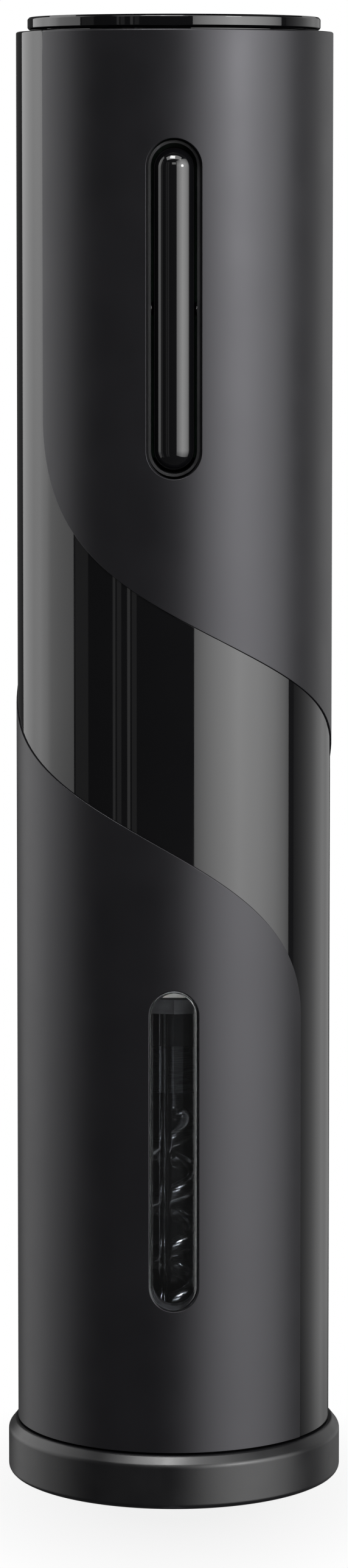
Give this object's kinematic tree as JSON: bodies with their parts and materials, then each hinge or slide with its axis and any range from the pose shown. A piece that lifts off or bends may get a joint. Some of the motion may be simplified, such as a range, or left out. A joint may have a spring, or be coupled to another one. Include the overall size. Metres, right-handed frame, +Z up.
{
  "type": "electric wine opener",
  "caption": "Tall cylindrical battery corkscrew: gloss S-shaped band between matt wrap panels, rocker switch, window onto the worm, twist-off cap and pull-off foil cutter base.",
  "frame": {"origin": "centre of the foil cutter's bottom face, which the opener stands on", "axes": "+Z up along the casing and the worm, -Y out of the front with the switch and window, +X to the right seen from the front"},
  "size_m": [0.0514, 0.0514, 0.2247],
  "materials": {
    "matt_black": "soft matt",
    "gloss_black": "polished",
    "satin_black": "satin",
    "inner_black": "as moulded",
    "clear": "clear",
    "rubber": "matt",
    "steel": "ground",
    "zinc": "zinc plated",
    "brass": "machined",
    "nylon": "natural nylon",
    "board": "solder mask",
    "cell": "plain sleeve"
  },
  "bodies": {
    "casing": {"upper_panel": "matt_black", "lower_panel": "matt_black", "gloss_band": "gloss_black", "front_chassis": "inner_black", "rear_chassis": "inner_black", "chassis_screw_1": "zinc", "chassis_screw_2": "zinc", "chassis_screw_3": "zinc", "chassis_screw_4": "zinc", "window_lens": "clear", "switch_bezel": "inner_black", "rocker_pin": "steel", "upper_switch_case": "zinc", "lower_switch_case": "zinc", "circuit_board": "board", "neck_guide": "inner_black", "neck_seat": "rubber", "cork_tube": "clear", "gearbox_nose": "inner_black", "output_bush": "brass", "gearbox_ring": "nylon", "motor_plate": "steel", "motor_screw_1": "zinc", "motor_screw_2": "zinc", "motor_can": "zinc", "motor_end_cap": "nylon", "battery_deck": "inner_black", "battery_holder": "inner_black", "battery_cell_1": "cell", "battery_cell_2": "cell", "battery_cell_3": "cell", "battery_cell_4": "cell", "cell_spring_1": "steel", "cell_spring_2": "steel", "cell_spring_3": "steel", "cell_spring_4": "steel"},
    "cap": {"top_cap": "gloss_black", "cap_contact_disc": "brass"},
    "rocker": {"rocker_button": "gloss_black"},
    "upper_stem": {"upper_switch_stem": "inner_black"},
    "lower_stem": {"lower_switch_stem": "inner_black"},
    "foil_cutter": {"foil_cutter_ring": "satin_black"},
    "wheel_1": {"cutter_wheel_1": "steel"},
    "wheel_2": {"cutter_wheel_2": "steel"},
    "wheel_3": {"cutter_wheel_3": "steel"},
    "wheel_4": {"cutter_wheel_4": "steel"},
    "screw": {"worm": "steel", "worm_grub_screw": "zinc", "output_carrier": "steel"},
    "second_planet_a": {"second_planet_1": "nylon"},
    "second_planet_b": {"second_planet_2": "nylon"},
    "second_planet_c": {"second_planet_3": "nylon"},
    "first_stage": {"first_carrier": "nylon", "second_sun_gear": "brass"},
    "first_planet_a": {"first_planet_1": "nylon"},
    "first_planet_b": {"first_planet_2": "nylon"},
    "first_planet_c": {"first_planet_3": "nylon"},
    "rotor": {"motor_pinion": "brass", "motor_shaft": "steel"}
  },
  "joints": [
    {"name": "worm_spin", "type": "hinge", "parent": "casing", "child": "screw", "pos_m": [0, 0, 0.05], "axis": [0, 0, 1], "continuous": true},
    {"name": "second_planet_a_spin", "type": "hinge", "parent": "screw", "child": "second_planet_a", "pos_m": [0, 0.009, 0.084], "axis": [0, 0, 1], "continuous": true},
    {"name": "second_planet_b_spin", "type": "hinge", "parent": "screw", "child": "second_planet_b", "pos_m": [-0.00779, -0.0045, 0.084], "axis": [0, 0, 1], "continuous": true},
    {"name": "second_planet_c_spin", "type": "hinge", "parent": "screw", "child": "second_planet_c", "pos_m": [0.00779, -0.0045, 0.084], "axis": [0, 0, 1], "continuous": true},
    {"name": "first_stage_spin", "type": "hinge", "parent": "casing", "child": "first_stage", "pos_m": [0, 0, 0.089], "axis": [0, 0, 1], "continuous": true},
    {"name": "first_planet_a_spin", "type": "hinge", "parent": "first_stage", "child": "first_planet_a", "pos_m": [0, 0.009, 0.094], "axis": [0, 0, 1], "continuous": true},
    {"name": "first_planet_b_spin", "type": "hinge", "parent": "first_stage", "child": "first_planet_b", "pos_m": [-0.00779, -0.0045, 0.094], "axis": [0, 0, 1], "continuous": true},
    {"name": "first_planet_c_spin", "type": "hinge", "parent": "first_stage", "child": "first_planet_c", "pos_m": [0.00779, -0.0045, 0.094], "axis": [0, 0, 1], "continuous": true},
    {"name": "rotor_spin", "type": "hinge", "parent": "casing", "child": "rotor", "pos_m": [0, 0, 0.1], "axis": [0, 0, 1], "continuous": true},
    {"name": "rocker_tilt", "type": "hinge", "parent": "casing", "child": "rocker", "pos_m": [0, -0.0203, 0.18095], "axis": [1, 0, 0], "range_deg": [-2.5, 2.5], "stiffness_Nm_per_rad": 0.2},
    {"name": "upper_stem_press", "type": "slide", "parent": "casing", "child": "upper_stem", "axis": [0, 1, 0], "range_m": [0, 0.00025], "stiffness_N_per_m": 400},
    {"name": "lower_stem_press", "type": "slide", "parent": "casing", "child": "lower_stem", "axis": [0, 1, 0], "range_m": [0, 0.00025], "stiffness_N_per_m": 400},
    {"name": "cap_lift", "type": "slide", "parent": "casing", "child": "cap", "axis": [0, 0, 1], "range_m": [0, 0.03]},
    {"name": "foil_cutter_pull", "type": "slide", "parent": "casing", "child": "foil_cutter", "axis": [0, 0, -1], "range_m": [0, 0.03]},
    {"name": "wheel_1_spin", "type": "hinge", "parent": "foil_cutter", "child": "wheel_1", "pos_m": [0.01294, 0.01294, 0.004], "axis": [0, 0, 1], "continuous": true},
    {"name": "wheel_2_spin", "type": "hinge", "parent": "foil_cutter", "child": "wheel_2", "pos_m": [-0.01294, 0.01294, 0.004], "axis": [0, 0, 1], "continuous": true},
    {"name": "wheel_3_spin", "type": "hinge", "parent": "foil_cutter", "child": "wheel_3", "pos_m": [-0.01294, -0.01294, 0.004], "axis": [0, 0, 1], "continuous": true},
    {"name": "wheel_4_spin", "type": "hinge", "parent": "foil_cutter", "child": "wheel_4", "pos_m": [0.01294, -0.01294, 0.004], "axis": [0, 0, 1], "continuous": true}
  ],
  "couplings": [
    {"joint": "second_planet_a_spin", "follows": "worm_spin", "ratio": -2.5},
    {"joint": "second_planet_b_spin", "follows": "worm_spin", "ratio": -2.5},
    {"joint": "second_planet_c_spin", "follows": "worm_spin", "ratio": -2.5},
    {"joint": "first_stage_spin", "follows": "worm_spin", "ratio": 6},
    {"joint": "first_planet_a_spin", "follows": "worm_spin", "ratio": -15},
    {"joint": "first_planet_b_spin", "follows": "worm_spin", "ratio": -15},
    {"joint": "first_planet_c_spin", "follows": "worm_spin", "ratio": -15},
    {"joint": "rotor_spin", "follows": "worm_spin", "ratio": 36}
  ]
}
